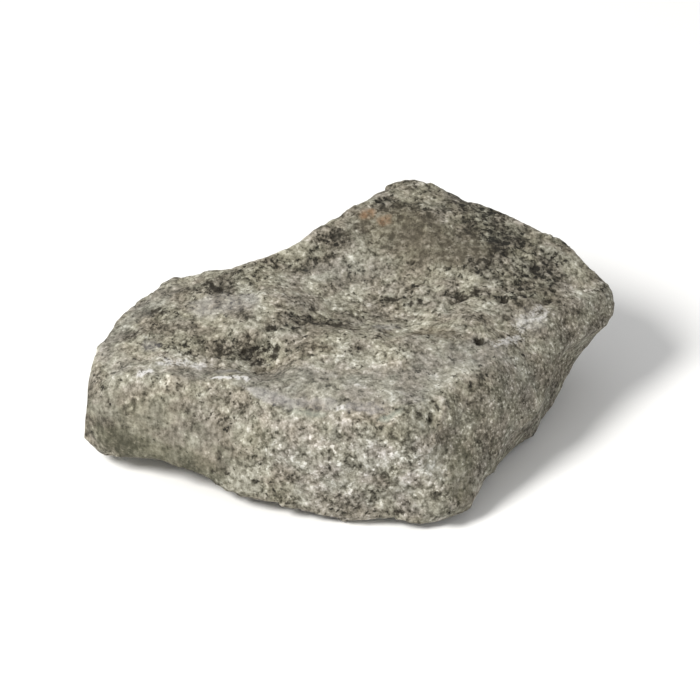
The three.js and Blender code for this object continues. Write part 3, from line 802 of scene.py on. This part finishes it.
# Soft steps: where each starts and ends, and what it gives there.
STEPS = {
    "crown": (0.10, 0.70, 0.5, -0.5),
    "dashes": (0.57, 0.65, 0.0, 1.0),
    "speck crowds": (0.40, 0.64, 0.655, 0.575),
    "fleck crowds": (0.42, 0.62, 0.67, 0.60),
    "fine flecks": (0.53, 0.70, 0.0, 1.0),
    "blush": (0.38, 0.62, 0.0, 1.0),
    "warmth": (0.35, 0.65, 0.0, 1.0),
    "film": (0.40, 0.58, 0.22, 0.50),
    "stain": (0.34, 0.60, 0.24, 0.80),
    "rub": (0.54, 0.70, 0.0, 1.1),
    "spot_and_hole_shade": (0.20, 0.75, 0.0, 0.85),
    "roughness": (0.3, 0.7, 0.95, 0.74),
}
FLECK_EDGE = 0.07  # how soft the rims of the specks and flecks are

# How strongly each part of the pattern shows in the tone, negative where it darkens.
SHARES = {
    "clouds": 0.26,
    "mottle": 1.05,
    "grain": 1.45,
    "crumb shade": 0.32,
    "crown": 0.12,
    "streaks": 0.65,
    "dashes": -0.30,
    "fine flecks": 0.26,
}
# Strengths that differ from patch to patch: the plain stone's, and what each kind of patch adds.
STRENGTHS = {
    # In the tone, the hollows get painted shade, and the shade, dark, brown and olive patches
    # partly so.
    "tone": (0.530, {
        "edge": 0.10, "hollow_shade": -0.20, "fine": -0.015, "dark": -0.17, "sugar": 0.03, "worn": -0.12,
        "lip": -0.01, "pale": 0.105, "shade": -0.135, "brown": -0.10, "olive_and_undercut_shade": -0.10,
    }),
    "variety": (1.04, {"worn": -0.40, "lip": -0.14}),
    "crumbs": (0.70, {"sugar": 0.30, "worn": -0.40}),
    "dust": (0.50, {"fine": 0.25}),
    "layers": (0.15, {"lip": 0.35}),
    "specks": (-0.38, {"sugar": 0.20}),
    "speck rarity": (0.0, {"worn": 0.06, "lip": 0.02, "fine": 0.05, "dark": -0.085}),
    "flecks": (0.20, {"sugar": 0.10}),
    "fleck rarity": (0.0, {"worn": 0.01, "lip": 0.02, "fine": -0.04, "sugar": -0.035}),
    "cool": (0.0, {"sugar": 0.9, "lip": 0.8}),
}
# A bruise is rubbed on the high grains first, and a black spot starts in the low ones.
CHALK = {"grain": 0.6, "dust": 0.4, "bruise": 0.20}
SPOT_GRAIN = -2.4
# The finest relief, by bump.
BUMP = {"grain": 0.55, "dust": 0.30, "crown": 0.30, "specks": -0.30}
BUMP_STRENGTH = 0.9
BUMP_DEPTH = 0.40
GLOSS = 0.3


class Finish:
    """A material's nodes, with a short way to add each one."""

    def __init__(self, name):
        self.material = bpy.data.materials.new(name)
        self.material.use_nodes = True
        self.nodes = self.material.node_tree.nodes
        self.links = self.material.node_tree.links
        self.shader = self.nodes["Principled BSDF"]
        self.upright = self.nodes.new("ShaderNodeTexCoord").outputs["Object"]
        self.place = self.stretched((1, 1, 1))

    def put(self, socket, value):
        """Links a socket to another one, or gives it a plain value."""
        if isinstance(value, bpy.types.NodeSocket):
            self.links.new(value, socket)
        else:
            socket.default_value = value

    def math(self, operation, a, b):
        node = self.nodes.new("ShaderNodeMath")
        node.operation = operation
        self.put(node.inputs[0], a)
        self.put(node.inputs[1], b)
        return node.outputs[0]

    def times(self, a, b):
        return self.math("MULTIPLY", a, b)

    def plus(self, a, b):
        return self.math("ADD", a, b)

    def add(self, total, value, share):
        """The total, with a share of the value added."""
        return self.plus(total, self.times(value, share))

    def centred(self, value):
        """A noise that goes as far below zero as above it."""
        return self.math("SUBTRACT", value, 0.5)

    def between(self, value, low, high, at_low=0.0, at_high=1.0):
        """A soft step from one value to another."""
        node = self.nodes.new("ShaderNodeMapRange")
        node.interpolation_type = "SMOOTHSTEP"
        self.put(node.inputs["Value"], value)
        self.put(node.inputs["From Min"], low)
        self.put(node.inputs["From Max"], high)
        self.put(node.inputs["To Min"], at_low)
        self.put(node.inputs["To Max"], at_high)
        return node.outputs["Result"]

    def step(self, name, value):
        return self.between(value, *STEPS[name])

    def attribute(self, name):
        node = self.nodes.new("ShaderNodeAttribute")
        node.attribute_name = name
        return node.outputs["Fac"]

    def strength(self, name):
        """A strength that differs from patch to patch."""
        total, additions = STRENGTHS[name]
        for kind, share in additions.items():
            total = self.add(total, self.attribute(kind), share)
        return total

    def stretched(self, shares):
        """The place, drawn out along the stone's axes with a small share."""
        node = self.nodes.new("ShaderNodeMapping")
        self.put(node.inputs["Vector"], self.upright)
        node.inputs["Scale"].default_value = shares
        node.inputs["Rotation"].default_value = NOISE_TURN
        return node.outputs["Vector"]

    def moved(self, amount, size):
        """The place, pushed about by a noise, so that what is laid on it has no straight edges."""
        push = self.nodes.new("ShaderNodeTexNoise")
        self.put(push.inputs["Vector"], self.place)
        push.inputs["Scale"].default_value = 1 / (size * MM)
        shift = self.nodes.new("ShaderNodeVectorMath")
        shift.operation = "MULTIPLY_ADD"
        self.put(shift.inputs[0], push.outputs["Color"])
        shift.inputs[1].default_value = (amount * MM,) * 3
        self.put(shift.inputs[2], self.place)
        return shift.outputs[0]

    def noise(self, name, place=None):
        """One of the stone's noises, at its own place or at one that is given."""
        look = NOISES[name]
        if "drawn" in look:
            place = self.stretched(look["drawn"])
        node = self.nodes.new("ShaderNodeTexNoise")
        self.put(node.inputs["Vector"], place or self.place)
        node.inputs["Scale"].default_value = 1 / (look["size"] * MM)
        node.inputs["Detail"].default_value = look["detail"]
        node.inputs["Roughness"].default_value = look["rough"]
        return node.outputs["Fac"]

    def crumbs(self, place):
        """Small grains side by side: a shade for each, and how near its middle a place is."""
        cells = self.nodes.new("ShaderNodeTexVoronoi")
        self.put(cells.inputs["Vector"], place)
        cells.inputs["Scale"].default_value = 1 / (CRUMB_SIZE * MM)
        parts = self.nodes.new("ShaderNodeSeparateColor")
        self.put(parts.inputs["Color"], cells.outputs["Color"])
        return parts.outputs["Red"], self.step("crown", cells.outputs["Distance"])

    def flecks(self, kind, place):
        """Scattered flecks, 1 on each and 0 between them, more of them where they crowd."""
        crowds = self.step(kind + " crowds", self.noise(kind + " crowds"))
        rare = self.plus(crowds, self.strength(kind + " rarity"))
        return self.between(self.noise(kind + "s", place), rare, self.plus(rare, FLECK_EDGE))

    def ramp(self, value, stops):
        node = self.nodes.new("ShaderNodeValToRGB")
        while len(node.color_ramp.elements) < len(stops):
            node.color_ramp.elements.new(0.5)
        for element, (position, colour) in zip(node.color_ramp.elements, stops):
            element.position = position
            element.color = (*colour, 1)
        self.put(node.inputs["Fac"], value)
        return node.outputs["Color"]

    def mix(self, share, a, b, blend="MIX"):
        """Colour a with a share of colour b, which is laid over it or multiplied with it."""
        node = self.nodes.new("ShaderNodeMix")
        node.data_type = "RGBA"
        node.blend_type = blend
        self.put(node.inputs["Factor"], share)
        for socket, colour in ((node.inputs[6], a), (node.inputs[7], b)):
            self.put(socket, (*colour, 1) if isinstance(colour, tuple) else colour)
        return node.outputs[2]

    def cast(self, share, colour, tint):
        return self.mix(share, colour, tint, "MULTIPLY")


def stone_tone(f, pattern):
    """How light or dark the stone is, from 0 to 1, with painted shade in its hollows and some
    patches.
    """
    # crumbs, mottling, grain and dust, evened out where the skin is worn
    crumbs = f.times(f.centred(pattern["shade"]), SHARES["crumb shade"])
    crumbs = f.add(crumbs, pattern["crown"], SHARES["crown"])
    varied = f.times(crumbs, f.strength("crumbs"))
    varied = f.add(varied, f.centred(pattern["mottle"]), SHARES["mottle"])
    varied = f.add(varied, f.centred(pattern["grain"]), SHARES["grain"])
    varied = f.add(varied, f.centred(pattern["dust"]), f.strength("dust"))
    tone = f.add(f.strength("tone"), varied, f.strength("variety"))
    tone = f.add(tone, f.centred(f.noise("clouds")), SHARES["clouds"])

    # streaks down the drawn sides, and thin layers along the top and the lip
    streaks = f.times(f.centred(f.noise("streaks")), f.attribute("drawn"))
    tone = f.add(tone, streaks, SHARES["streaks"])
    layers = f.noise("layers")
    lined = f.times(f.centred(layers), f.attribute("top"))
    tone = f.add(tone, lined, f.strength("layers"))
    dashes = f.times(f.step("dashes", layers), f.attribute("lip"))
    tone = f.add(tone, dashes, SHARES["dashes"])

    # dark specks and pale flecks
    tone = f.add(tone, pattern["specks"], f.strength("specks"))
    tone = f.add(tone, pattern["flecks"], f.strength("flecks"))
    fine_flecks = f.times(f.step("fine flecks", pattern["dust"]), f.attribute("fine"))
    return f.add(tone, fine_flecks, SHARES["fine flecks"])


def stone_colour(f, pattern):
    """The stone's own colour with its casts, films, stains and bruises, and black spots and painted
    shade.
    """
    colour = f.ramp(stone_tone(f, pattern), TONES)
    blush = f.step("blush", f.noise("blush"))
    colour = f.mix(blush, f.cast(1.0, colour, PINKISH), f.cast(1.0, colour, GREENISH))
    warmth = f.times(f.step("warmth", f.noise("warmth")), WARM_SHARE)
    colour = f.cast(warmth, colour, WARM)
    colour = f.cast(f.strength("cool"), colour, COOL)
    colour = f.mix(f.times(f.attribute("lip"), BARE_SHARE), colour, BARE)
    film = f.times(f.attribute("lilac"), f.step("film", pattern["mottle"]))
    colour = f.mix(film, colour, LILAC)
    for kind, (tint, share) in TINTS.items():
        colour = f.mix(f.times(f.attribute(kind), share), colour, tint)
    stain = f.times(f.attribute("rust"), f.step("stain", pattern["grain"]))
    colour = f.mix(stain, colour, RUST)
    chalk = f.add(f.times(pattern["grain"], CHALK["grain"]), pattern["dust"], CHALK["dust"])
    chalk = f.add(chalk, f.attribute("bruise"), CHALK["bruise"])
    colour = f.mix(f.times(f.step("rub", chalk), f.attribute("bruise")), colour, BRUISE)
    # black spots, with painted shade in the holes and slots
    spot_and_hole_shade = f.add(f.attribute("black_and_hole_shade"), f.centred(pattern["grain"]), SPOT_GRAIN)
    return f.mix(f.step("spot_and_hole_shade", spot_and_hole_shade), colour, BLACK_AND_HOLE_SHADE)


def soapstone():
    """The stone's finish: dull, mottled and finely rough."""
    f = Finish("soapstone")
    ragged = f.moved(**RAGGED)
    pattern = {name: f.noise(name) for name in ("mottle", "grain", "dust")}
    pattern["shade"], pattern["crown"] = f.crumbs(ragged)
    pattern["specks"] = f.flecks("speck", ragged)
    pattern["flecks"] = f.flecks("fleck", f.moved(**CROOKED))

    f.put(f.shader.inputs["Base Color"], stone_colour(f, pattern))
    f.put(f.shader.inputs["Roughness"], f.step("roughness", pattern["grain"]))
    f.shader.inputs["Specular IOR Level"].default_value = GLOSS

    height = 0.0
    for name, share in BUMP.items():
        height = f.add(height, pattern[name], share)
    bump = f.nodes.new("ShaderNodeBump")
    bump.inputs["Strength"].default_value = BUMP_STRENGTH
    bump.inputs["Distance"].default_value = BUMP_DEPTH * MM
    f.put(bump.inputs["Height"], height)
    f.put(f.shader.inputs["Normal"], bump.outputs["Normal"])
    return f.material


set_camera()
light_studio()
lay_floor()
make_stone()
